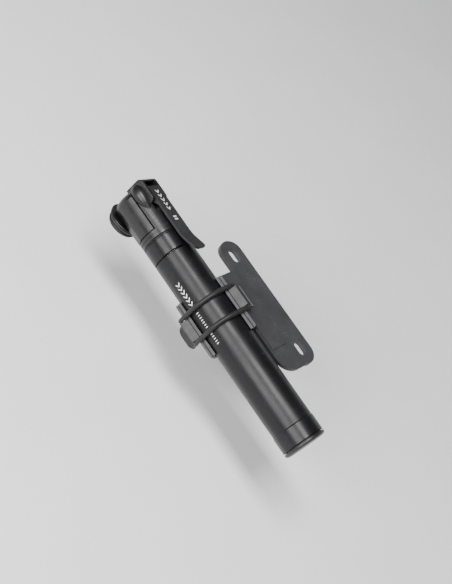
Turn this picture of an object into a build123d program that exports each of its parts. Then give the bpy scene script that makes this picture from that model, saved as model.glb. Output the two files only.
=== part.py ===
"""Road-bike mini pump with thumb-lock head, carried in a side-mount frame bracket by a rubber strap.

Row frame, millimetres: origin at the centre of the bracket's two M5 slots, on the face that lies on
the bicycle frame. +X runs along the pump towards its head, +Z is the bracket plate's outward normal,
+Y is the side on which the pump hangs.

Two local frames are used. The pump frame has its X axis on the pump's own axis, and its +Z points
straight out of the cradle's open side. The head frame is the pump frame turned about X, so that its
+Y is the direction in which the chuck points and its -Y is the side of the lever.
"""
from build123d import *
import math
import os

os.makedirs("parts", exist_ok=True)

# ---------------------------------------------------------------- driving dimensions
PUMP_Y, PUMP_Z = 33.0, -3.2          # pump axis beside the bracket's bolt line
CRADLE_TILT = 45.0                   # cradle opens this far outwards from the plate's normal
HEAD_TURN = 30.0                     # head turned in the cradle, chuck away from the opening

TAIL_X = -78.0                       # closed end of the handle
HANDLE_R, HANDLE_WALL = 12.1, 1.3
HANDLE_OPEN_X = 46.6                 # open end of the handle tube
CAP_R = 12.4                        # handle end cap
CAP_LEN = 12.4
PLUG_T = 2.1

COLLAR_R = 12.15
COLLAR_X0, COLLAR_X1 = 47.0, 57.9

BARREL_R, BARREL_WALL = 9.5, 1.1     # inner barrel
BARREL_X0, BARREL_X1 = -61.0, 62.0
ROD_R, ROD_BORE = 4.0, 2.4

HEAD_R = 12.15
HEAD_X0, HEAD_X1 = 58.2, 87.6
HOUSING_R = 12.8
HOUSING_X0, HOUSING_X1 = 62.7, 88.4
CORE_R = 11.0
CORE_FLAT = 8.5                      # flat of the core under the housing's end wall

AXIS_X = 81.4                        # chuck axis and lever pivot, along the pump
PIN_C = -9.0                         # lever pivot, across the pump
PIN_R = 1.45
LEVER_HALF_W = 5.1
SLOT_HALF_W = 5.4
LEVER_FACE = 14.9
EAR_HALF_W = 7.9
EAR_FACE = 11.4
CHEEK_HALF_W = 7.1
CHEEK_FACE = 14.6

CHAMBER_R = 5.7
BOSS_R = 6.9
VALVE_R = 4.2                        # hole for the tyre valve

SLOT_SPACING = 64.0                  # bottle-cage bosses
SLOT_R, SLOT_LEN = 2.65, 9.0
CRADLE_X0, CRADLE_X1 = -11.6, 22.3
CRADLE_RI, CRADLE_RO = 12.65, 14.8
HOOK_X0, HOOK_X1 = 0.8, 12.8
STRAP_R = 1.28

# ---------------------------------------------------------------- frames and helpers
P = Location((0, PUMP_Y, PUMP_Z), (-CRADLE_TILT, 0, 0))
H = P * Location((0, 0, 0), (-HEAD_TURN, 0, 0))
LOW = (Align.CENTER, Align.CENTER, Align.MIN)


def cx(x0, x1, r):
    """Cylinder along X."""
    return Pos(x0, 0, 0) * Rot(0, 90, 0) * Cylinder(r, x1 - x0, align=LOW)


def tube(x0, x1, ro, ri):
    return cx(x0, x1, ro) - cx(x0 - 1, x1 + 1, ri)


def cy(x, c0, c1, r, h=0.0):
    """Cylinder along the head frame's Y."""
    return Pos(x, c0, h) * Rot(-90, 0, 0) * Cylinder(r, c1 - c0, align=LOW)


def cz(x, c, h0, h1, r):
    return Pos(x, c, h0) * Cylinder(r, h1 - h0, align=LOW)


def box(x0, x1, y0, y1, z0, z1):
    return Pos((x0 + x1) / 2, (y0 + y1) / 2, (z0 + z1) / 2) * Box(x1 - x0, y1 - y0, z1 - z0)


def ring_x(x, r_mid, r_sec):
    """O-ring about X."""
    return Pos(x, 0, 0) * Rot(0, 90, 0) * Torus(r_mid, r_sec)


def revolve_x(pts):
    """Solid of revolution about X from (x, r) points."""
    with BuildPart() as p:
        with BuildSketch(Plane.XY):
            with BuildLine():
                Polyline(*pts, close=True)
            make_face()
        revolve(axis=Axis.X)
    return p.part


def solid(s):
    s = s.clean() if hasattr(s, "clean") else s
    return s


NODES = {}


def put(name, shape, frame):
    shape = solid(shape)
    moved = frame * shape if frame is not None else shape
    NODES[name] = moved
    export_step(moved, f"parts/{name}.step")
    print(name, round(moved.volume, 1))


# ---------------------------------------------------------------- handle: the sliding outer body
TUBE_X0 = TAIL_X + CAP_LEN           # the cap takes over from here
bore_r = HANDLE_R - HANDLE_WALL
handle_tube = tube(TUBE_X0 - 8.0, HANDLE_OPEN_X, HANDLE_R, bore_r)
handle_tube -= tube(TUBE_X0 - 9.0, TUBE_X0, HANDLE_R + 1, HANDLE_R - 0.55)      # spigot under the cap
outer = handle_tube.edges().filter_by(GeomType.CIRCLE).filter_by(
    lambda e: abs(e.radius - HANDLE_R) < 1e-3)
handle_tube = chamfer([e for e in outer if e.center().X > HANDLE_OPEN_X - 1], 0.35)
put("handle_tube", handle_tube, P)

cap_x0 = TAIL_X + PLUG_T + 0.45
end_cap = revolve_x([
    (cap_x0, 6.0), (cap_x0, CAP_R - 0.25), (cap_x0 + 0.25, CAP_R), (TUBE_X0 - 0.45, CAP_R),
    (TUBE_X0, CAP_R - 0.35), (TUBE_X0, HANDLE_R - 0.55), (TUBE_X0 - 8.0, HANDLE_R - 0.55),
    (TUBE_X0 - 8.0, 9.2), (cap_x0 + 2.0, 9.2), (cap_x0 + 2.0, 6.0)])
put("end_cap", end_cap, P)

end_plug = revolve_x([
    (TAIL_X, 0), (TAIL_X, 10.9), (TAIL_X + 0.25, 11.6), (TAIL_X + 0.9, CAP_R - 0.05),
    (TAIL_X + PLUG_T - 0.2, CAP_R - 0.05), (TAIL_X + PLUG_T, CAP_R - 0.25),
    (TAIL_X + PLUG_T, 10.9), (cap_x0, 10.9), (cap_x0, 5.9), (cap_x0 + 1.2, 5.9), (cap_x0 + 1.2, 0)])
put("end_plug", end_plug, P)

# rod carrier screwed into the end cap, and the hollow rod
rod_x0, rod_x1 = cap_x0 + 2.1, 41.9
carrier = revolve_x([
    (cap_x0 + 2.0, ROD_R), (cap_x0 + 2.0, 9.2), (TUBE_X0 - 4.9, 9.2), (TUBE_X0 - 4.9, ROD_R)])
put("rod_carrier", carrier, P)
rod = cx(cap_x0 + 2.0, rod_x1, ROD_R) + cx(rod_x1, rod_x1 + 8.2, 3.0)
rod -= cx(cap_x0, rod_x1 + 9, 1.5)
rod -= cx(cap_x0, 30.0, ROD_BORE)
put("piston_rod", rod, P)
end_screw = cx(cap_x0 + 1.25, cap_x0 + 1.95, 4.6) + cx(cap_x0 + 1.95, cap_x0 + 8.0, ROD_BORE)
end_screw -= Pos(cap_x0 + 1.25, 0, 0) * Rot(0, 90, 0) * extrude(RegularPolygon(1.7, 6), 2.2)
put("rod_end_screw", end_screw, P)

bush_x0, bush_x1 = 38.0, 46.2
handle_bush = revolve_x([
    (bush_x0, BARREL_R + 0.06), (bush_x0, bore_r), (bush_x1, bore_r), (bush_x1, BARREL_R + 0.06)])
handle_bush -= tube(41.6, 43.0, BARREL_R + 0.7, BARREL_R)
put("handle_bush", handle_bush, P)
put("bush_wiper", tube(41.65, 42.95, BARREL_R + 0.69, BARREL_R + 0.05), P)

piston_screw = cx(rod_x1 + 8.9, rod_x1 + 10.6, 3.4) + cx(rod_x1 + 1.0, rod_x1 + 8.9, 1.5)
piston_screw -= Pos(rod_x1 + 9.4, 0, 0) * Rot(0, 90, 0) * extrude(RegularPolygon(1.4, 6), 1.5)
put("piston_screw", piston_screw, P)
put("piston_washer", tube(rod_x1 + 8.2, rod_x1 + 8.9, 5.0, 1.5), P)

# ---------------------------------------------------------------- floating piston on the rod
pb = BARREL_R - BARREL_WALL
px0, px1 = rod_x1 + 0.1, rod_x1 + 8.1
piston = revolve_x([
    (px0, 3.06), (px0, pb - 0.35), (px0 + 0.5, pb - 0.1), (px0 + 2.6, pb - 0.1), (px0 + 2.6, pb - 1.5),
    (px0 + 5.4, pb - 1.5), (px0 + 5.4, pb - 0.1), (px1 - 0.5, pb - 0.1), (px1, pb - 0.35), (px1, 3.06)])
put("piston", piston, P)
put("piston_seal", ring_x((px0 + 2.6 + px0 + 5.4) / 2, pb - 0.80, 0.68), P)

# ---------------------------------------------------------------- inner barrel and its gland
inner = tube(BARREL_X0, BARREL_X1, BARREL_R, pb)
put("inner_barrel", inner, P)
gx0, gx1 = -63.5, BARREL_X0 + 7.0
gland = revolve_x([
    (gx0, ROD_R + 0.08), (gx0, bore_r - 0.12), (BARREL_X0, bore_r - 0.12), (BARREL_X0, pb),
    (gx1, pb), (gx1, ROD_R + 0.08)])
gland -= tube(gx0 + 0.55, gx0 + 2.1, bore_r + 1, bore_r - 1.5)
gland -= tube(gx0 + 4.4, gx0 + 6.4, ROD_R + 1.3, ROD_R - 0.5)
put("barrel_gland", gland, P)
put("gland_seal", ring_x(gx0 + 1.325, bore_r - 0.76, 0.70), P)
put("rod_seal", ring_x(gx0 + 5.4, ROD_R + 0.68, 0.60), P)
put("stop_bumper", tube(gx1 + 0.01, gx1 + 1.6, pb - 0.02, ROD_R + 0.5), P)

# ---------------------------------------------------------------- collar between handle and head
collar = revolve_x([
    (COLLAR_X0, BARREL_R), (COLLAR_X0, COLLAR_R - 0.35), (COLLAR_X0 + 0.35, COLLAR_R),
    (COLLAR_X1 - 1.0, COLLAR_R), (COLLAR_X1 - 1.0, COLLAR_R - 0.35), (COLLAR_X1 - 0.7, COLLAR_R - 0.35),
    (COLLAR_X1 - 0.7, COLLAR_R), (COLLAR_X1 - 0.2, COLLAR_R), (COLLAR_X1, COLLAR_R - 0.2), (COLLAR_X1, BARREL_R)])
put("barrel_collar", collar, P)

# ---------------------------------------------------------------- head body
head = cx(HEAD_X0, HEAD_X1, HEAD_R)
top = head.edges().filter_by(GeomType.CIRCLE).sort_by(Axis.X)[-1]
head = fillet(top, 4.5)
low = head.edges().filter_by(GeomType.CIRCLE).sort_by(Axis.X)[0]
head = chamfer(low, 0.3)
head -= tube(60.1, 60.5, HEAD_R + 1, HEAD_R - 0.35)                    # fine groove in the rim
# ears for the lever, joined by a bridge over its end
ears = box(76.0, 89.6, -EAR_FACE, -3.0, -EAR_HALF_W, EAR_HALF_W)
ears = fillet(ears.edges().filter_by(Axis.Z).filter_by(lambda e: e.center().Y < -10), 2.6)
ears = fillet(ears.edges().filter_by(Axis.X).filter_by(lambda e: e.center().Y < -11), 1.2)
cheeks = box(75.6, 90.7, -CHEEK_FACE, -3.0, -CHEEK_HALF_W, CHEEK_HALF_W)
cheeks = fillet(cheeks.edges().filter_by(Axis.Z).filter_by(lambda e: e.center().Y < -10), 2.8)
cheeks = fillet(cheeks.edges().filter_by(Axis.X).filter_by(lambda e: e.center().Y < -13), 0.5)
ears = ears + cheeks


def spindle(side):
    """Streamlined swelling of the head's side over the end of the lever's pin."""
    pts = [(70.0, 0.0), (73.5, 1.5), (77.5, 3.2), (82.5, 4.4), (86.6, 3.7), (88.9, 2.1), (89.7, 0.0)]
    with BuildPart() as p:
        with BuildSketch(Plane.XY):
            with BuildLine():
                Spline(*[(x, r) for x, r in pts], tangents=[(0.8, 0.6), (0, -1)])
                Line((89.7, 0.0), (70.0, 0.0))
            make_face()
        revolve(axis=Axis.X)
    return Pos(0, -8.3, side * 6.9) * p.part


head = head + ears + spindle(1) + spindle(-1)
head += cy(AXIS_X, -3.4, 12.85, BOSS_R)                                    # threaded boss of the chuck
# the housing lies in a rebate; its end wall lies over a flat
keep = box(83.9, 100, -20, -2.1, -EAR_HALF_W - 0.05, EAR_HALF_W + 0.05)
boss = cy(AXIS_X, -8, 12.85, BOSS_R)
rebate = cx(HOUSING_X0 - 0.35, 95, 16) - cx(0, 100, CORE_R)
rebate = rebate & box(50, 100, -6.45, 30, -30, 30)
head -= rebate - boss - keep
head -= box(HOUSING_X1 - 1.8, 95, -6.45, 30, -30, 30) - boss - keep
head -= box(HOUSING_X0 - 0.35, 95, CORE_FLAT, 30, -30, 30) - boss
# lever slot: open outwards, with a round floor about the pivot
slot = cz(AXIS_X, PIN_C, -SLOT_HALF_W, SLOT_HALF_W, 6.65) & box(70, 92, -30, -2.7, -10, 10)
slot += box(70.0, AXIS_X + 6.65, -20, PIN_C + 0.01, -SLOT_HALF_W, SLOT_HALF_W)
head -= slot
head -= cz(AXIS_X, PIN_C, -9.6, 9.6, PIN_R)
head -= cy(AXIS_X, -0.6, 20, CHAMBER_R)                                # chuck chamber
head -= cy(AXIS_X, -6, 0, 3.06)                                        # plunger stem hole
head -= cx(50, BARREL_X1 + 0.02, BARREL_R)                             # barrel socket
head -= cx(BARREL_X1, BARREL_X1 + 5.2, 3.2)                            # check valve's chamber
head -= cx(BARREL_X1, 71.0, 1.5) + cy(70.5, -1.0, 5.0, 1.1) + (Pos(0, 4.0, 0) * cx(70.5, 78, 1.0))   # air way
head = max(head.solids(), key=lambda q: q.volume)
put("head_body", head, H)

put("lever_pin", cz(AXIS_X, PIN_C, -9.55, 9.55, PIN_R), H)

# ---------------------------------------------------------------- chuck housing: a saddle over the head
facet_a = Vector(HOUSING_X1, 5.5, math.sqrt(HOUSING_R ** 2 - 5.5 ** 2))
facet_b = Vector(HOUSING_X1, 10.9, 7.1)
facet_c = Vector(HOUSING_X0, 4.9, math.sqrt(HOUSING_R ** 2 - 4.9 ** 2))


def outside(pa, pb, pc, toward):
    """Half space beyond the plane of three points, on the side of the given direction."""
    n = (pb - pa).cross(pc - pa).normalized()
    if n.dot(toward) < 0:
        n = n * -1
    return Plane(origin=pa, z_dir=n) * Box(120, 120, 40, align=LOW)


with BuildPart() as hp:
    with BuildSketch(Plane.YZ.offset(HOUSING_X0)):
        Circle(HOUSING_R + 0.25)
        with Locations((20 - 6.1, 0)):
            Rectangle(40, 40, mode=Mode.INTERSECT)
    extrude(amount=HOUSING_X1 - HOUSING_X0)
housing = hp.part & cx(0, 100, HOUSING_R)
housing += (hp.part & box(0, 100, 5.0, 30, -30, 30))
mirror_z = lambda v: Vector(v.X, v.Y, -v.Z)
housing -= outside(facet_a, facet_b, facet_c, Vector(0, 1, 1))
housing -= outside(mirror_z(facet_a), mirror_z(facet_b), mirror_z(facet_c), Vector(0, 1, -1))
housing -= outside(Vector(HOUSING_X1, 10.9, 0), Vector(HOUSING_X1, 10.9, 5), Vector(HOUSING_X0, 9.75, 0), Vector(0, 1, 0))
dome = cx(HOUSING_X0, HOUSING_X1, HOUSING_R + 0.05)
dome = fillet(dome.edges().filter_by(GeomType.CIRCLE).sort_by(Axis.X)[-1], 4.6)
housing = housing & dome
housing -= cx(0, HOUSING_X1 - 1.75, CORE_R + 0.03) & box(0, 100, -20, CORE_FLAT + 0.03, -20, 20)
housing -= cy(AXIS_X, -8, 20, BOSS_R + 0.04)
housing -= box(83.9, 100, -12, -2.0, -EAR_HALF_W - 0.12, EAR_HALF_W + 0.12)
parts_h = housing.solids()
housing = max(parts_h, key=lambda s: s.volume)
put("chuck_housing", housing, H)

# ---------------------------------------------------------------- chuck: nut, seal, plunger, dust cap
def revolve_c(pts):
    """Solid of revolution about the chuck axis from (c, r) points."""
    with BuildPart() as p:
        with BuildSketch(Plane.XY):
            with BuildLine():
                Polyline(*[(r, c) for c, r in pts], close=True)
            make_face()
        revolve(axis=Axis.Y)
    return Pos(AXIS_X, 0, 0) * p.part


nut = revolve_c([
    (10.95, BOSS_R), (10.95, 10.6), (11.2, 10.9), (11.6, 10.9), (11.8, 10.65), (11.8, 10.0), (12.15, 10.0), (12.15, 10.35),
    (12.35, 10.55), (12.75, 10.55), (12.95, 10.3), (13.05, 9.75), (13.5, 9.75), (14.5, 9.2), (14.5, 7.2), (15.5, 7.2), (15.5, VALVE_R),
    (12.9, VALVE_R), (12.9, BOSS_R)])
put("chuck_nut", nut, H)

dust = revolve_c([
    (14.7, 7.25), (14.7, 9.15), (15.05, 9.5), (15.6, 9.35), (15.75, 8.8), (16.1, 8.8), (16.2, 9.05), (16.75, 8.65), (17.3, 7.7), (17.5, 6.3),
    (17.5, 0), (16.3, 0), (16.3, 7.25)])
put("dust_cap", dust, H)

seal = revolve_c([
    (5.05, 3.4), (5.05, CHAMBER_R - 0.05), (12.85, CHAMBER_R - 0.05), (12.85, 3.9), (11.6, 3.4), (9.0, 3.3)])
put("chuck_seal", seal, H)

plunger = cy(AXIS_X, PIN_C + 3.5, -0.4, 3.0) + cy(AXIS_X, -0.4, 5.0, CHAMBER_R - 0.1)
plunger -= cy(AXIS_X, 0.4, 1.6, 8) - cy(AXIS_X, 0, 2, 4.4)             # seal's groove
plunger -= cy(AXIS_X, 2.7, 4.6, 8) - cy(AXIS_X, 2, 5, 5.0)             # air groove
plunger -= cy(AXIS_X, 1.9, 6, 3.1)
plunger -= cx(AXIS_X - 6, AXIS_X + 6, 0.8).moved(Location((0, 3.6, 0)))   # air ports
plunger += cy(AXIS_X, 1.8, 7.2, 1.2)                                    # pin for a car-type valve core
put("plunger", plunger, H)
put("plunger_seal", Pos(AXIS_X, 1.0, 0) * Rot(90, 0, 0) * Torus(CHAMBER_R - 0.65, 0.58), H)

# ---------------------------------------------------------------- check valve in the barrel's top
vx = BARREL_X1 - 4.0
valve_seat = revolve_x([
    (vx - 2.0, 1.4), (vx - 2.0, pb), (BARREL_X1, pb), (BARREL_X1, 3.05), (vx + 0.4, 3.05), (vx - 0.6, 1.4)])
put("valve_seat", valve_seat, P)
ball_r = 2.4
ball_x = vx + 1.55
put("check_ball", Pos(ball_x, 0, 0) * Sphere(ball_r), P)
spring_x0, spring_x1 = ball_x + ball_r - 0.3, BARREL_X1 + 5.1
with BuildPart() as sp:
    with BuildLine() as ln:
        Helix(pitch=(spring_x1 - spring_x0 - 0.5) / 4.0, height=spring_x1 - spring_x0 - 0.5, radius=2.25)
    with BuildSketch(Plane(origin=ln.line @ 0, z_dir=ln.line % 0)):
        Circle(0.2)
    sweep(is_frenet=True)
put("valve_spring", Pos(spring_x0 + 0.25, 0, 0) * Rot(0, 90, 0) * sp.part, P)
put("barrel_shim", tube(COLLAR_X1 + 0.01, HEAD_X0 - 0.01, 11.5, BARREL_R + 0.02), P)

# ---------------------------------------------------------------- lever
def rel(x, c):
    return (AXIS_X + x, PIN_C + c)


LF = -(LEVER_FACE + PIN_C)                    # outer face, from the pin
spiral = []
for k in range(0, 10):
    t = math.radians(10 * k)
    rr = 3.2 + 2.0 * k / 9.0
    spiral.append(rel(rr * math.sin(t), rr * math.cos(t)))
with BuildPart() as lv:
    with BuildSketch(Plane.XY):
        with BuildLine():
            Spline(*spiral)
            Spline(rel(5.2, 0), rel(5.0, -2.3), rel(4.0, -4.4), rel(2.0, LF), tangents=[(0.05, -1), (-1, -0.05)])
            Line(rel(2.0, LF), rel(-27.5, LF))
            Spline(rel(-27.5, LF), rel(-31.0, LF - 0.22), rel(-34.5, LF - 0.95), rel(-41.3, LF - 2.85), tangents=[(-1, 0), (-1, -0.3)])
            Spline(rel(-41.3, LF - 2.85), rel(-42.0, LF - 2.1), rel(-41.1, LF - 1.3), tangents=[(-0.9, -0.1), (1, 0.3)])
            Spline(rel(-41.1, LF - 1.3), rel(-34.1, LF + 0.6), rel(-30.7, LF + 1.25), rel(-27.0, LF + 1.45), tangents=[(1, 0.3), (1, 0)])
            Line(rel(-27.0, LF + 1.45), rel(-9.6, LF + 1.45))
            Spline(rel(-9.6, LF + 1.45), rel(-6.4, -3.2), rel(-4.2, -1.6), rel(-3.2, 0.0), tangents=[(1, 0), (0, 1)])
            RadiusArc(rel(-3.2, 0.0), rel(0, 3.2), 3.2)
        make_face()
    extrude(amount=LEVER_HALF_W, both=True)
lever = lv.part
# rounded tip in plan
plan = Pos(0, -20, 0) * Rot(-90, 0, 0) * extrude(
    Pos((AXIS_X - 41.9 + 95) / 2, 0) * RectangleRounded(95 - AXIS_X + 41.9, 2 * LEVER_HALF_W, 3.4), 30)
lever = lever & plan
lever -= cz(AXIS_X, PIN_C, -10, 10, PIN_R + 0.05)
put("lever", lever, H)

# ---------------------------------------------------------------- bracket
spine = extrude(SlotOverall(84.0, 15.0), 3.0)
web_pts = [(24.0, -7.5), (24.0, 20.3), (-41.5, 20.3), (-41.5, -7.5)]
with BuildPart() as wb:
    with BuildSketch(Plane.XY.offset(0.6)):
        with BuildLine():
            Polyline(*web_pts, close=True)
        make_face()
    extrude(amount=2.4)
web = wb.part
web = fillet(web.edges().filter_by(Axis.Z).filter_by(lambda e: e.center().Y > 10 and e.center().X < 0), 11.0)
web = fillet(web.edges().filter_by(Axis.Z).filter_by(lambda e: e.center().Y > 10 and e.center().X > 0), 5.0)
web = fillet(web.edges().filter_by(Axis.Z).filter_by(lambda e: e.center().Y < 0 and e.center().X < 0), 7.4)
plate = spine + web
plate += box(-26.0, 24.0, 8.0, 19.0, 2.9, 3.6)                              # stiffening land beside the cradle
for s in (-1, 1):
    plate -= Pos(s * SLOT_SPACING / 2, 0, -1) * extrude(SlotOverall(SLOT_LEN, 2 * SLOT_R), 6)

# cradle, in the pump frame: a C channel with double-ridged lips
with BuildPart() as cr:
    with BuildSketch(Plane.YZ.offset(CRADLE_X0)):
        Circle(CRADLE_RO)
        with Locations((0, 1.0)):
            Rectangle(30.0, 7.2)
        with Locations((0, 10.0)):
            Rectangle(40.0, 10.8, mode=Mode.SUBTRACT)                       # above the outer ridges at 4.6
        for s in (-1, 1):
            with Locations((s * 12.3, 3.6)):
                Rectangle(1.5, 3.6)                                         # inner ridges, up to 5.4
            with Locations((s * 13.35, 4.2)):
                Rectangle(0.6, 1.6, mode=Mode.SUBTRACT)
        Circle(CRADLE_RI, mode=Mode.SUBTRACT)
    extrude(amount=CRADLE_X1 - CRADLE_X0)
cradle = cr.part
pieces = cradle.solids()
cradle = max(pieces, key=lambda s: s.volume)
rims = cradle.edges().filter_by(Axis.Z).filter_by(
    lambda e: abs(abs(e.center().Y) - 15.0) < 0.01 and e.length > 1.0)
cradle = fillet(rims, 1.2)
hooks = []
for s in (-1, 1):
    a = min(s * 13.5, s * 18.4), max(s * 13.5, s * 18.4)
    head_b = box(HOOK_X0, HOOK_X1, a[0], a[1], 2.6, 5.2)
    head_b = chamfer(head_b.edges().filter_by(Axis.X).filter_by(lambda e: abs(e.center().Y) > 17 and e.center().Z > 4), 0.5)
    b = min(s * 14.4, s * 15.9), max(s * 14.4, s * 15.9)
    stem = box(HOOK_X0 + 0.4, HOOK_X1 - 0.4, b[0], b[1], -4.0, 2.7)
    hooks += [head_b, stem]
ledge = box(HOOK_X0 - 1.6, HOOK_X1, -19.9, -14.3, -3.6, -2.4)
ledge += box(HOOK_X0 - 1.6, HOOK_X1, -19.9, -19.1, -3.0, -0.9)
bracket = P * cradle
for hk in hooks + [ledge]:
    bracket = bracket + (P * hk)
clear = P * cx(-60, 60, CRADLE_RI)
bracket = (bracket + plate) - clear
bracket = bracket - (P * box(-60, 60, -30, 30, 5.6, 60))
print("bracket solids", len(bracket.solids()))
bracket = max(bracket.solids(), key=lambda s: s.volume)
put("bracket", bracket, None)

# ---------------------------------------------------------------- strap: a rubber loop with a pull tab
sa, sb = HOOK_X1 + 0.15 + STRAP_R, HOOK_X0 - 0.15 - STRAP_R           # the two strands
rs = CRADLE_RI + STRAP_R + 0.05


def strand_points(x, side):
    """From the crown of the pump down to the hook's level on one side."""
    a = math.radians(54)
    return [(x, side * rs * math.cos(a), rs * math.sin(a))]


bar_y, bar_z = 17.25, 0.35


def strand(x):
    a = math.radians(54)
    tx, tz = rs * math.cos(a), rs * math.sin(a)
    arc = ThreePointArc((x, -tx, tz), (x, 0, rs), (x, tx, tz))
    # straight run off the arc, over the lips
    kx = 16.45
    kz = tz - (kx - tx) / math.tan(a)
    return arc, (kx, kz), (tx, tz)


arc_a, (ky, kz), (ty, tz) = strand(sa)
path = FilletPolyline(
    (sa, ty, tz), (sa, ky, kz), (sa, bar_y, bar_z), (sb, bar_y, bar_z), (sb, ky, kz), (sb, ty, tz), radius=1.7)
path_l = FilletPolyline(
    (sa, -ty, tz), (sa, -ky, kz), (sa, -bar_y, bar_z), (sb, -bar_y, bar_z), (sb, -ky, kz), (sb, -ty, tz), radius=1.7)


def pipe(w):
    with BuildPart() as p:
        with BuildLine():
            add(w)
        with BuildSketch(Plane(origin=w @ 0, z_dir=w % 0)):
            Circle(STRAP_R)
        sweep()
    return p.part


strap = pipe(path) + pipe(path_l)
for x in (sa, sb):
    strap += pipe(strand(x)[0])
tab_w = 14.2
xm = (sa + sb) / 2 - 0.9
with BuildPart() as tb:
    with BuildSketch(Plane.XY):
        with BuildLine():
            Polyline((xm - tab_w / 2, 0), (xm + tab_w / 2, 0), (xm + tab_w / 2, 4.6), (xm - tab_w / 2, 4.6), close=True)
        make_face()
        with Locations((xm, 4.6)):
            Ellipse(tab_w / 2, 4.4)
    extrude(amount=0.9, both=True)
tab = tb.part.moved(Location((0, 0, 0), (-62, 0, 0))).moved(Location((0, bar_y + 0.1, bar_z)))
strap = strap + tab
print("strap solids", len(strap.solids()))
put("strap", strap, P)
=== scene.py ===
import bpy, bmesh, math
from mathutils import Vector, Matrix


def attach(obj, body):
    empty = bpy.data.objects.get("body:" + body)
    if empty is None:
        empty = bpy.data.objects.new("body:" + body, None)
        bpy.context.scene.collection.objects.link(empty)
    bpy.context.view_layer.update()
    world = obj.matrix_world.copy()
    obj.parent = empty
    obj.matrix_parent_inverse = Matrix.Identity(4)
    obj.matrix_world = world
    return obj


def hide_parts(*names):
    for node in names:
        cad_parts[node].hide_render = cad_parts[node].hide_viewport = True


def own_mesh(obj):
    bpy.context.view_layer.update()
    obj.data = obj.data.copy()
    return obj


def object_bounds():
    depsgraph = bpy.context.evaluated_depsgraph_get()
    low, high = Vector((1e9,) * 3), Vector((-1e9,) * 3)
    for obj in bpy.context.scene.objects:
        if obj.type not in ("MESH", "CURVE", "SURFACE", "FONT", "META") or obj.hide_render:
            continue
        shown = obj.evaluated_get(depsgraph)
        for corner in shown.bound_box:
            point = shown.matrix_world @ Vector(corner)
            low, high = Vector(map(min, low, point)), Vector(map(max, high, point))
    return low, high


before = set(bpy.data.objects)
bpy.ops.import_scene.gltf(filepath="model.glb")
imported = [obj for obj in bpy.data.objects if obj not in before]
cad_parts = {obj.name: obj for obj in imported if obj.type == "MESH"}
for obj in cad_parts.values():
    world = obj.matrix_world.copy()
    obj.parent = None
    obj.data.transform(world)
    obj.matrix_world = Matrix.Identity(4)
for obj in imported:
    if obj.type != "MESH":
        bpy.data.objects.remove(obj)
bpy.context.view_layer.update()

# ================================================================ frames
MM = 0.001
PY, PZ = 33.0, -3.2
C45 = math.cos(math.radians(45))


def P(x, y, z):
    """Pump frame (mm) to row frame (m)."""
    return Vector((x, PY + (y + z) * C45, PZ + (z - y) * C45)) * MM


def H(x, c, h):
    """Head frame (mm) to row frame (m): c towards the chuck, h across the lever."""
    k, s = math.cos(math.radians(30)), math.sin(math.radians(30))
    return P(x, c * k + h * s, -c * s + h * k)


# ================================================================ camera
tilt = math.radians(11.5)
Yl = Vector((0, C45, -C45))
V = Vector((0, C45, C45))
tail = Vector((-1, 0, 0))
Bv = math.cos(tilt) * V + math.sin(tilt) * tail
T = math.cos(tilt) * tail - math.sin(tilt) * V
N = -Yl
roll = math.radians(0.26)
T, N = math.cos(roll) * T - math.sin(roll) * N, math.cos(roll) * N + math.sin(roll) * T
R = (0.571 * T + 0.821 * N).normalized()
U = (-0.821 * T + 0.571 * N)
U = (U - R * U.dot(R)).normalized()
foot = P(13.87, 0, 0) + 0.01195 * N
cam_data = bpy.data.cameras.new("cam")
cam = bpy.data.objects.new("cam", cam_data)
bpy.context.scene.collection.objects.link(cam)
cam_data.sensor_width = 36
cam_data.lens = 1010 * 36 / 584
cam_data.clip_start, cam_data.clip_end = 0.01, 20
pos = foot + Bv * 0.547
cam.matrix_world = Matrix((
    (R.x, U.x, Bv.x, pos.x), (R.y, U.y, Bv.y, pos.y), (R.z, U.z, Bv.z, pos.z), (0, 0, 0, 1)))
bpy.context.scene.camera = cam


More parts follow.
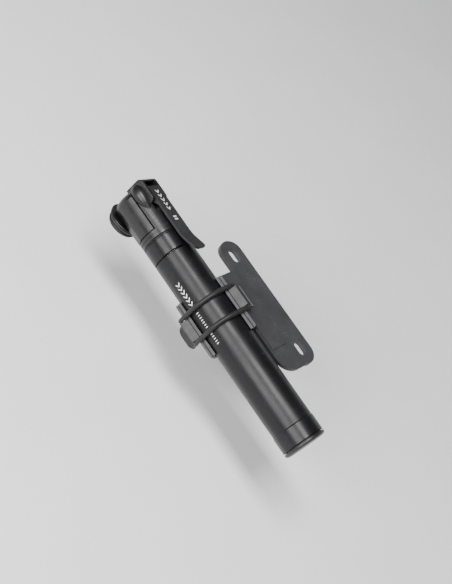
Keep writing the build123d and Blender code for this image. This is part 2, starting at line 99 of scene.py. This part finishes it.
# ================================================================ materials
class Mat:
    """A small builder for node materials in millimetres of the object's own coordinates."""

    def __init__(self, name):
        self.m = bpy.data.materials.new(name)
        self.m.use_nodes = True
        self.t = self.m.node_tree
        self.t.nodes.clear()
        self.out = self.t.nodes.new("ShaderNodeOutputMaterial")
        self.b = self.t.nodes.new("ShaderNodeBsdfPrincipled")
        self.t.links.new(self.b.outputs[0], self.out.inputs[0])
        tc = self.t.nodes.new("ShaderNodeTexCoord")
        sc = self.t.nodes.new("ShaderNodeVectorMath"); sc.operation = "SCALE"
        sc.inputs["Scale"].default_value = 1000.0
        self.t.links.new(tc.outputs["Object"], sc.inputs[0])
        self.co = sc.outputs[0]

    def link(self, a, b):
        self.t.links.new(a, b)

    def stretch(self, x, y, z, rot=(0, 0, 0)):
        n = self.t.nodes.new("ShaderNodeMapping")
        n.inputs["Scale"].default_value = (x, y, z)
        n.inputs["Rotation"].default_value = rot
        self.link(self.co, n.inputs[0])
        return n.outputs[0]

    def noise(self, scale, detail=3.0, rough=0.5, co=None, dist=0.0):
        n = self.t.nodes.new("ShaderNodeTexNoise")
        n.inputs["Scale"].default_value = scale
        n.inputs["Detail"].default_value = detail
        n.inputs["Roughness"].default_value = rough
        n.inputs["Distortion"].default_value = dist
        self.link(co if co else self.co, n.inputs["Vector"])
        return n.outputs[0]

    def cells(self, scale, co=None, feature="F1"):
        n = self.t.nodes.new("ShaderNodeTexVoronoi")
        n.feature = feature
        n.inputs["Scale"].default_value = scale
        self.link(co if co else self.co, n.inputs["Vector"])
        return n.outputs["Distance"]

    def ramp(self, f, lo, hi, a=0.0, b=1.0):
        n = self.t.nodes.new("ShaderNodeMapRange")
        n.inputs["From Min"].default_value = lo
        n.inputs["From Max"].default_value = hi
        n.inputs["To Min"].default_value = a
        n.inputs["To Max"].default_value = b
        self.link(f, n.inputs["Value"])
        return n.outputs[0]

    def math(self, op, a, b=None):
        n = self.t.nodes.new("ShaderNodeMath"); n.operation = op
        for i, v in enumerate((a, b)):
            if v is None:
                continue
            if isinstance(v, (int, float)):
                n.inputs[i].default_value = v
            else:
                self.link(v, n.inputs[i])
        return n.outputs[0]

    def mix(self, f, a, b):
        n = self.t.nodes.new("ShaderNodeMix"); n.data_type = "RGBA"
        for s, v in ((n.inputs["Factor"], f), (n.inputs[6], a), (n.inputs[7], b)):
            if isinstance(v, (int, float)):
                s.default_value = v
            elif isinstance(v, tuple):
                s.default_value = (*v, 1.0) if len(v) == 3 else v
            else:
                self.link(v, s)
        return n.outputs[2]

    def bump(self, height, strength, distance_mm, normal=None):
        n = self.t.nodes.new("ShaderNodeBump")
        n.inputs["Strength"].default_value = strength
        n.inputs["Distance"].default_value = distance_mm * MM
        self.link(height, n.inputs["Height"])
        if normal is not None:
            self.link(normal, n.inputs["Normal"])
        return n.outputs[0]

    def scratches(self, co_scale, seed_rot, amount):
        """Fine hairline scratches: thin ridges of a stretched noise, kept only in patches."""
        line = self.noise(1.0, 2.0, 0.4, co=self.stretch(*co_scale, rot=seed_rot), dist=0.3)
        d = self.math("ABSOLUTE", self.math("SUBTRACT", line, 0.5))
        thin = self.ramp(d, 0.0, 0.006, 1.0, 0.0)
        patch = self.ramp(self.noise(0.09, 2.0), 0.5, 0.66, 0.0, amount)
        return self.math("MULTIPLY", thin, patch)

    def finish(self, color=None, rough=None, normal=None, **kw):
        for s, v in (("Base Color", color), ("Roughness", rough)):
            if v is None:
                continue
            if isinstance(v, (int, float)):
                self.b.inputs[s].default_value = v
            elif isinstance(v, tuple):
                self.b.inputs[s].default_value = (*v, 1.0)
            else:
                self.link(v, self.b.inputs[s])
        if normal is not None:
            self.link(normal, self.b.inputs["Normal"])
        for k, v in kw.items():
            self.b.inputs[k].default_value = v
        return self.m


def anodised(name, base, light, rough, seed=0.0, metallic=0.35):
    """Satin black anodised aluminium: fine drawn grain along the tube, soft blotches, a few hairlines."""
    m = Mat(name)
    drawn = m.noise(1.0, 4.0, 0.6, co=m.stretch(0.05, 5.5, 5.5, rot=(seed, 0, 0)))
    fine = m.noise(7.0, 2.0, 0.6)
    blotch = m.noise(0.06, 3.0, 0.55)
    sc = m.scratches((0.9, 0.05, 0.9), (0.3 + seed, 0.4, 0.2), 0.55)
    c = m.mix(m.ramp(blotch, 0.35, 0.7), base, tuple(min(1, v * 1.35) for v in base))
    c = m.mix(m.ramp(drawn, 0.3, 0.75, 0.0, 0.35), c, light)
    c = m.mix(sc, c, (0.16, 0.16, 0.165))
    r = m.math("ADD", m.ramp(blotch, 0.3, 0.7, rough - 0.04, rough + 0.05), m.ramp(drawn, 0.3, 0.7, -0.04, 0.05))
    r = m.math("ADD", r, m.ramp(fine, 0.3, 0.7, -0.03, 0.03))
    n = m.bump(fine, 0.10, 0.02, m.bump(drawn, 0.16, 0.02))
    return m.finish(c, r, n, Metallic=metallic, **{"Specular IOR Level": 0.42})


def moulded(name, base, rough, grain=2.6, depth=0.22, wear=(0.12, 0.12, 0.125)):
    """Black moulded plastic with a spark-eroded grain, faint flow clouds and a little handling shine."""
    m = Mat(name)
    cell = m.cells(grain)
    fine = m.noise(grain * 2.2, 3.0, 0.65)
    clouds = m.noise(0.11, 3.0, 0.5)
    rub = m.noise(0.28, 4.0, 0.6)
    sc = m.scratches((0.5, 0.06, 0.5), (0.9, 0.2, 0.5), 0.5)
    c = m.mix(m.ramp(clouds, 0.35, 0.68), base, tuple(min(1, v * 1.4) for v in base))
    c = m.mix(m.ramp(cell, 0.1, 0.8, 0.0, 0.3), c, tuple(min(1, v * 1.8) for v in base))
    c = m.mix(sc, c, wear)
    r = m.math("ADD", m.ramp(rub, 0.35, 0.7, rough - 0.07, rough + 0.07), m.ramp(fine, 0.3, 0.7, -0.05, 0.05))
    n = m.bump(fine, depth * 0.7, 0.03, m.bump(cell, depth, 0.035))
    return m.finish(c, r, n, **{"Specular IOR Level": 0.43})


def rubbery(name, base, rough=0.78, bloom=(0.10, 0.10, 0.10)):
    m = Mat(name)
    fine = m.noise(5.0, 4.0, 0.65)
    skin = m.noise(0.7, 3.0, 0.6)
    dust = m.ramp(m.noise(1.7, 5.0, 0.7), 0.56, 0.75, 0.0, 0.5)
    c = m.mix(m.ramp(skin, 0.3, 0.7), base, tuple(v * 1.5 for v in base))
    c = m.mix(dust, c, bloom)
    r = m.math("ADD", m.ramp(skin, 0.3, 0.7, rough - 0.08, rough + 0.06), m.ramp(fine, 0.3, 0.7, -0.04, 0.04))
    n = m.bump(fine, 0.35, 0.03, m.bump(skin, 0.25, 0.08))
    return m.finish(c, r, n, **{"Specular IOR Level": 0.4, "Sheen Weight": 0.03, "Sheen Roughness": 0.5})


def steel(name, base, rough, turned=True, metallic=1.0):
    """Turned or ground metal: lines around the X axis, with a slight tarnish."""
    m = Mat(name)
    lines = m.noise(1.0, 4.0, 0.6, co=m.stretch(9.0, 0.12, 0.12) if turned else m.stretch(0.1, 7.0, 7.0))
    tarnish = m.noise(0.35, 4.0, 0.6)
    pits = m.ramp(m.noise(6.0, 2.0), 0.68, 0.78, 0.0, 0.5)
    c = m.mix(m.ramp(tarnish, 0.35, 0.7), base, tuple(v * 0.78 for v in base))
    c = m.mix(pits, c, tuple(v * 0.4 for v in base))
    r = m.math("ADD", m.ramp(lines, 0.3, 0.7, rough - 0.08, rough + 0.10), m.ramp(tarnish, 0.3, 0.7, -0.03, 0.05))
    n = m.bump(lines, 0.2, 0.015)
    return m.finish(c, r, n, Metallic=metallic)


def acetal(name, base, rough):
    m = Mat(name)
    tool = m.noise(1.0, 3.0, 0.5, co=m.stretch(6.0, 0.3, 0.3))
    clouds = m.noise(0.25, 3.0, 0.5)
    fine = m.noise(5.0, 3.0, 0.6)
    c = m.mix(m.ramp(clouds, 0.3, 0.7), base, tuple(v * 0.86 for v in base))
    r = m.math("ADD", m.ramp(tool, 0.3, 0.7, rough - 0.06, rough + 0.08), m.ramp(fine, 0.3, 0.7, -0.03, 0.03))
    n = m.bump(fine, 0.08, 0.02, m.bump(tool, 0.15, 0.02))
    return m.finish(c, r, n)


def ink(name):
    """White screen print, a little worn."""
    m = Mat(name)
    worn = m.ramp(m.noise(2.2, 5.0, 0.75), 0.6, 0.72, 0.0, 0.8)
    grain = m.noise(9.0, 2.0, 0.5)
    c = m.mix(m.ramp(grain, 0.3, 0.7), (0.74, 0.74, 0.73), (0.84, 0.84, 0.83))
    c = m.mix(worn, c, (0.22, 0.22, 0.225))
    r = m.ramp(grain, 0.3, 0.7, 0.42, 0.55)
    return m.finish(c, r, m.bump(grain, 0.1, 0.01))


BLACK = (0.0050, 0.0050, 0.0056)
M = {
    "handle": anodised("handle_anodised", BLACK, (0.014, 0.014, 0.0155), 0.37),
    "cap": anodised("cap_anodised", (0.0055, 0.0055, 0.0062), (0.015, 0.015, 0.0165), 0.32, seed=0.7),
    "collar": anodised("collar_anodised", (0.006, 0.006, 0.0067), (0.017, 0.017, 0.0185), 0.31, seed=1.3),
    "barrel": steel("barrel_polished", (0.78, 0.79, 0.81), 0.20, turned=False),
    "plug": moulded("plug_plastic", (0.008, 0.008, 0.0086), 0.46, grain=3.4, depth=0.18),
    "head": moulded("head_plastic", (0.0058, 0.0058, 0.0063), 0.37, grain=3.8, depth=0.10),
    "housing": moulded("housing_plastic", (0.0055, 0.0055, 0.006), 0.35, grain=4.2, depth=0.09),
    "lever": moulded("lever_plastic", (0.0068, 0.0068, 0.0074), 0.42, grain=3.6, depth=0.12),
    "nut": moulded("nut_plastic", (0.006, 0.006, 0.0065), 0.36, grain=4.0, depth=0.08),
    "bracket": moulded("bracket_nylon", (0.026, 0.026, 0.0275), 0.52, grain=2.2, depth=0.42, wear=(0.17, 0.17, 0.175)),
    "inner": acetal("internal_acetal", (0.05, 0.05, 0.052), 0.45),
    "white": acetal("plunger_acetal", (0.74, 0.72, 0.66), 0.38),
    "strap": rubbery("strap_rubber", (0.0085, 0.0085, 0.009), 0.56, bloom=(0.035, 0.035, 0.036)),
    "dust": rubbery("dust_cap_rubber", (0.0085, 0.0085, 0.009), 0.5, bloom=(0.03, 0.03, 0.03)),
    "seal": rubbery("seal_rubber", (0.018, 0.018, 0.019), 0.6),
    "rod": steel("rod_steel", (0.62, 0.63, 0.65), 0.24, turned=False),
    "screw": steel("screw_steel", (0.55, 0.55, 0.57), 0.30),
    "ball": steel("ball_steel", (0.80, 0.81, 0.82), 0.10),
    "wire": steel("spring_wire", (0.60, 0.60, 0.61), 0.28),
    "ink": ink("print_white"),
}
NODE_MAT = {
    "bracket": "bracket", "strap": "strap", "handle_tube": "handle", "end_cap": "cap", "end_plug": "plug",
    "rod_carrier": "inner", "piston_rod": "rod", "rod_end_screw": "screw", "handle_bush": "inner",
    "bush_wiper": "seal", "piston": "inner", "piston_seal": "seal", "piston_screw": "screw",
    "piston_washer": "screw", "inner_barrel": "barrel", "barrel_gland": "inner", "gland_seal": "seal",
    "rod_seal": "seal", "stop_bumper": "seal", "barrel_collar": "collar", "barrel_shim": "seal",
    "head_body": "head", "lever_pin": "screw", "chuck_housing": "housing", "chuck_nut": "nut",
    "dust_cap": "dust", "chuck_seal": "seal", "plunger": "white", "plunger_seal": "seal",
    "valve_seat": "inner", "check_ball": "ball", "valve_spring": "wire", "lever": "lever",
}
for name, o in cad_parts.items():
    o.data.materials.clear()
    o.data.materials.append(M[NODE_MAT[name]])

# edges of the visible CAD nodes are broken slightly, as moulded and turned edges are
SOFT_EDGE = {"bracket": 0.35, "lever": 0.30, "head_body": 0.28, "chuck_housing": 0.24, "barrel_collar": 0.12,
             "handle_tube": 0.10, "end_cap": 0.12, "end_plug": 0.15, "chuck_nut": 0.12, "dust_cap": 0.15,
             "barrel_shim": 0.05}
for name, w in SOFT_EDGE.items():
    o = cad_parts[name]
    weld = o.modifiers.new("weld", "WELD"); weld.merge_threshold = 2e-6
    bev = o.modifiers.new("bevel", "BEVEL")
    bev.limit_method = "ANGLE"; bev.angle_limit = math.radians(32)
    bev.width = w * MM; bev.segments = 3; bev.use_clamp_overlap = True
    bev.harden_normals = False
    bev.miter_outer = "MITER_ARC"
    wn = o.modifiers.new("normals", "WEIGHTED_NORMAL"); wn.keep_sharp = False; wn.weight = 60


# ================================================================ pieces built here
def obj_from(name, verts, faces, mat, smooth=True):
    me = bpy.data.meshes.new(name)
    me.from_pydata([tuple(v) for v in verts], [], faces)
    me.validate(); me.update()
    bm = bmesh.new(); bm.from_mesh(me)
    bmesh.ops.remove_doubles(bm, verts=bm.verts, dist=1e-7)
    bmesh.ops.recalc_face_normals(bm, faces=bm.faces)
    bm.to_mesh(me); bm.free()
    for p in me.polygons:
        p.use_smooth = smooth
    o = bpy.data.objects.new(name, me)
    bpy.context.scene.collection.objects.link(o)
    me.materials.append(mat)
    return o


# ---- strap: one moulded rubber loop, two strands over the barrel and an end under each hook
SR = 1.28
SA, SB = 12.8 + 0.15 + SR, 0.8 - 0.15 - SR
RS = 12.65 + SR + 0.05


def strand(x, side_from, n=33):
    """Points over the crown of the barrel from one side to the other."""
    pts = []
    for i in range(n):
        t = i / (n - 1)
        ang = math.radians(54 + (180 - 108) * t)
        y, z = RS * math.cos(ang), RS * math.sin(ang)
        # the strands bow a little towards each other where they are tight on the barrel
        bow = -0.22 * math.sin(math.pi * t)
        pts.append(Vector((x + (bow if x > 6.8 else -bow), y * side_from, z)))
    return pts


ty, tz = RS * math.cos(math.radians(54)), RS * math.sin(math.radians(54))
KY = 16.45
KZ = tz - (KY - ty) / math.tan(math.radians(54))
BY, BZ = 17.25, 0.35


def side_end(s):
    """From strand A down round the end bar and back up to strand B, on side s."""
    pts = [Vector((SA, s * (ty + (KY - ty) * k), tz + (KZ - tz) * k)) for k in (0.25, 0.5, 0.75)]
    pts += [Vector((SA, s * 16.85, KZ - 1.3)), Vector((SA - 0.1, s * 17.15, 2.3)), Vector((SA - 0.45, s * 17.25, 0.95)),
            Vector((SA - 1.5, s * 17.25, BZ + 0.02)), Vector((SA - 3.4, s * 17.25, BZ)), Vector((SA - 5.6, s * 17.25, BZ))]
    back = [Vector((SA + SB - p.x, p.y, p.z)) for p in reversed(pts)]
    return pts + [Vector(((SA + SB) / 2, s * 17.25, BZ))] + back


loop = strand(SA, 1) + side_end(-1) + strand(SB, -1) + side_end(1)[::-1]


def catmull(pts, per=4):
    out = []
    n = len(pts)
    for i in range(n):
        p0, p1, p2, p3 = pts[(i - 1) % n], pts[i], pts[(i + 1) % n], pts[(i + 2) % n]
        for k in range(per):
            t = k / per
            out.append(0.5 * ((2 * p1) + (p2 - p0) * t + (2 * p0 - 5 * p1 + 4 * p2 - p3) * t * t + (3 * p1 - p0 - 3 * p2 + p3) * t ** 3))
    return out


def resample(pts, step):
    """Evenly spaced points on a closed polyline."""
    n = len(pts)
    seg = [(pts[(i + 1) % n] - pts[i]).length for i in range(n)]
    total = sum(seg); m = int(total / step)
    out, i, acc = [], 0, 0.0
    for k in range(m):
        d = total * k / m
        while acc + seg[i] < d:
            acc += seg[i]; i += 1
        out.append(pts[i].lerp(pts[(i + 1) % n], (d - acc) / max(seg[i], 1e-9)))
    return out


path = resample(catmull(loop), 0.42)
ring_n = 20
verts, faces = [], []
np_ = len(path)
for i, p in enumerate(path):
    tan = (path[(i + 1) % np_] - path[(i - 1) % np_]).normalized()
    radial = Vector((0, p.y, p.z))
    if abs(p.z) < 4.0:
        radial = Vector((0, p.y, 0.0))
    up = (radial - tan * radial.dot(tan))
    up = up.normalized() if up.length > 1e-6 else Vector((0, 0, 1))
    side = tan.cross(up).normalized()
    crown = max(0.0, p.z / RS)
    for j in range(ring_n):
        a = 2 * math.pi * j / ring_n
        u, v = math.cos(a), math.sin(a)
        # slightly squashed where it lies on the barrel, with a faint moulding line on its flanks
        flash = 0.05 * math.exp(-((v / 0.09) ** 2)) if abs(u) > 0.9 else 0.0
        ru = SR * (1.0 + 0.03 * crown) + flash
        rv = SR * (0.985 - 0.05 * crown * (1 if v < 0 else 0))
        q = p + side * (u * ru) + up * (v * rv)
        verts.append(P(*q))
for i in range(np_):
    for j in range(ring_n):
        a, b = i * ring_n + j, i * ring_n + (j + 1) % ring_n
        c, d = ((i + 1) % np_) * ring_n + (j + 1) % ring_n, ((i + 1) % np_) * ring_n + j
        faces.append((a, b, c, d))
strap = obj_from("strap_loop", verts, faces, M["strap"])
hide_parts("strap")
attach(strap, "strap")

# ---- pull tab: a rounded tongue with a rolled rim and three grip ridges
XM = (SA + SB) / 2 - 0.9
TW, T0, TL = 7.1, 0.0, 9.0
ta = math.radians(-62)


def tab_pt(u, v, w):
    """u along the bar, v out along the tab, w through its thickness."""
    y = v * math.cos(ta) - w * math.sin(ta)
    z = v * math.sin(ta) + w * math.cos(ta)
    return P(XM + u, BY + 0.1 + y, BZ + z)


def tab_half_width(v):
    if v <= 4.6:
        return TW
    k = min(1.0, (v - 4.6) / 4.4)
    return TW * math.sqrt(max(0.0, 1 - k * k))


def tab_thick(u, v):
    hw = tab_half_width(v)
    edge_v = 9.0 - v
    d = min(hw - abs(u), edge_v * 0.9)
    base = 0.62
    rim = 0.30 * math.exp(-((d - 0.75) / 0.42) ** 2)
    ridges = sum(0.26 * math.exp(-((v - c) / 0.34) ** 2) for c in (3.2, 4.7, 6.2)) * (1 if hw - abs(u) > 1.6 else max(0.0, (hw - abs(u) - 0.9) / 0.7))
    root = 0.28 * math.exp(-(v / 1.3) ** 2)
    fall = min(1.0, math.sqrt(max(0.0, d) / 0.45)) if d < 0.45 else 1.0
    return (base + rim + ridges + root) * max(fall, 0.02)


nu, nv = 40, 48
top_, bot_ = {}, {}
verts, faces = [], []
for i in range(nv + 1):
    v = T0 + (8.985 - T0) * (1 - (1 - i / nv) ** 1.25)
    hw = tab_half_width(v) * 0.999
    for j in range(nu + 1):
        s_ = -1 + 2 * j / nu
        u = hw * math.sin(s_ * math.pi / 2)
        th = tab_thick(u, v)
        top_[i, j] = len(verts); verts.append(tab_pt(u, v, th))
        if j in (0, nu) or i == nv:
            th = 0
            verts[top_[i, j]] = tab_pt(u, v, 0)
            bot_[i, j] = top_[i, j]
        else:
            bot_[i, j] = len(verts); verts.append(tab_pt(u, v, -th))
for i in range(nv):
    for j in range(nu):
        faces.append((top_[i, j], top_[i, j + 1], top_[i + 1, j + 1], top_[i + 1, j]))
        faces.append((bot_[i, j], bot_[i + 1, j], bot_[i + 1, j + 1], bot_[i, j + 1]))
cap = [top_[0, j] for j in range(nu + 1)] + [bot_[0, j] for j in range(nu - 1, 0, -1)]
faces.append(tuple(cap))
faces = [f for f in faces if len(set(f)) > 2]
tab = obj_from("strap_pull_tab", verts, faces, M["strap"])
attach(tab, "strap")


# ---- printed marks: plain generic bars, chevrons and ticks
def prism(polys, place, lo, hi, name, mat):
    """Thin closed plates from outlines in (x, s); place(x, s, w) puts a point at height w over the surface."""
    verts, faces = [], []
    for poly in polys:
        n = len(poly)
        b = len(verts)
        for w in (lo, hi):
            for x, s in poly:
                verts.append(place(x, s, w))
        faces.append(tuple(range(b, b + n))[::-1])
        faces.append(tuple(range(b + n, b + 2 * n)))
        for i in range(n):
            j = (i + 1) % n
            faces.append((b + i, b + j, b + n + j, b + n + i))
    return obj_from(name, verts, faces, mat, smooth=False)


def chevron(x, h, w, t):
    """Chevron pointing to -x: two slanted bars as quads, cut in short pieces so they follow the curve."""
    out = []
    k = 4
    for sgn in (-1, 1):
        for i in range(k):
            s0, s1 = h * i / k, h * (i + 1) / k
            a0, a1 = w * i / k, w * (i + 1) / k
            q = [(x + a0, sgn * s0), (x + a0 + t, sgn * s0), (x + a1 + t, sgn * s1), (x + a1, sgn * s1)]
            out.append(q if sgn > 0 else q[::-1])
    return out


def bar(x0, x1, s0, s1):
    k = max(1, int((s1 - s0) / 0.5))
    return [[(x0, s0 + (s1 - s0) * i / k), (x1, s0 + (s1 - s0) * i / k), (x1, s0 + (s1 - s0) * (i + 1) / k), (x0, s0 + (s1 - s0) * (i + 1) / k)] for i in range(k)]


HR = 12.1
A0 = math.radians(35.5)


def on_handle(x, s, w):
    a = A0 - s / HR
    r = HR + w
    return P(x, r * math.sin(a), r * math.cos(a))


polys = []
for i in range(6):
    polys += chevron(28.6 - i * 2.5, 1.5, 1.5, 0.85)
for i in range(14):
    x = 11.0 - i * 1.5
    polys += bar(x, x + 0.45, -0.75, 0.75)
marks = prism(polys, on_handle, -0.02, 0.022, "handle_print", M["ink"])
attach(marks, "handle")


def on_lever(x, s, w):
    return H(x, -14.9 - w, s)


polys = []
for i in range(5):
    polys += chevron(79.2 - i * 2.9, 1.45, 1.45, 0.95)
polys += bar(62.6, 63.5, -1.45, 1.45)
polys += bar(60.9, 61.8, -1.45, 1.45)
lmarks = prism(polys, on_lever, -0.02, 0.022, "lever_print", M["ink"])
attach(lmarks, "lever")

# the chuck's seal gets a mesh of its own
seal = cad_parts["chuck_seal"]
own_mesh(seal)

# ================================================================ floor and light
lo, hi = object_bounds()
zf = lo.z - 0.0412      # the dust cap comes 40 mm down when it is pulled off
floor_mat = Mat("floor_paper")
g = floor_mat.noise(0.02, 3.0, 0.5)
fine = floor_mat.noise(2.0, 4.0, 0.6)
floor_mat = floor_mat.finish(floor_mat.mix(floor_mat.ramp(g, 0.3, 0.7), (0.86, 0.86, 0.865), (0.89, 0.89, 0.89)),
                             floor_mat.ramp(fine, 0.3, 0.7, 0.7, 0.8), floor_mat.bump(fine, 0.04, 0.03))
fv, ff = [], []
S = 3.0
for x, y in ((-S, -S), (S, -S), (S, S), (-S, S)):
    fv.append(Vector((x, y, zf)))
floor = obj_from("floor", fv, [(0, 1, 2, 3)], floor_mat)

world = bpy.data.worlds.new("studio")
bpy.context.scene.world = world
world.use_nodes = True
bg = world.node_tree.nodes["Background"]
bg.inputs[0].default_value = (0.93, 0.95, 1.0, 1)
bg.inputs[1].default_value = 0.16

centre = P(8, 0, 0)


def softbox(name, phi, psi, dist, wx, wphi, radiance, tint=(1, 1, 1)):
    """Soft box seen from the pump at angle phi from the cradle's opening (positive towards the bracket), psi towards the head."""
    ph, ps = math.radians(phi), math.radians(psi)
    d = math.cos(ps) * (math.cos(ph) * V + math.sin(ph) * -Yl) + math.sin(ps) * Vector((1, 0, 0))
    d.normalize()
    li = bpy.data.lights.new(name, "AREA")
    li.shape = "RECTANGLE"; li.size = wx; li.size_y = wphi
    li.energy = radiance * math.pi * wx * wphi
    li.color = tint
    o = bpy.data.objects.new(name, li)
    bpy.context.scene.collection.objects.link(o)
    zax = d
    xax = (Vector((1, 0, 0)) - zax * zax.x).normalized()
    yax = zax.cross(xax)
    p = centre + d * dist
    o.matrix_world = Matrix(((xax.x, yax.x, zax.x, p.x), (xax.y, yax.y, zax.y, p.y), (xax.z, yax.z, zax.z, p.z), (0, 0, 0, 1)))
    return o


softbox("key_wide", -12, 4, 0.95, 0.66, 0.52, 11.0)
softbox("key_strip", 28, 4, 0.95, 0.66, 0.17, 34.0)
softbox("fill_far", 127, 0, 1.1, 0.9, 0.24, 1.6)
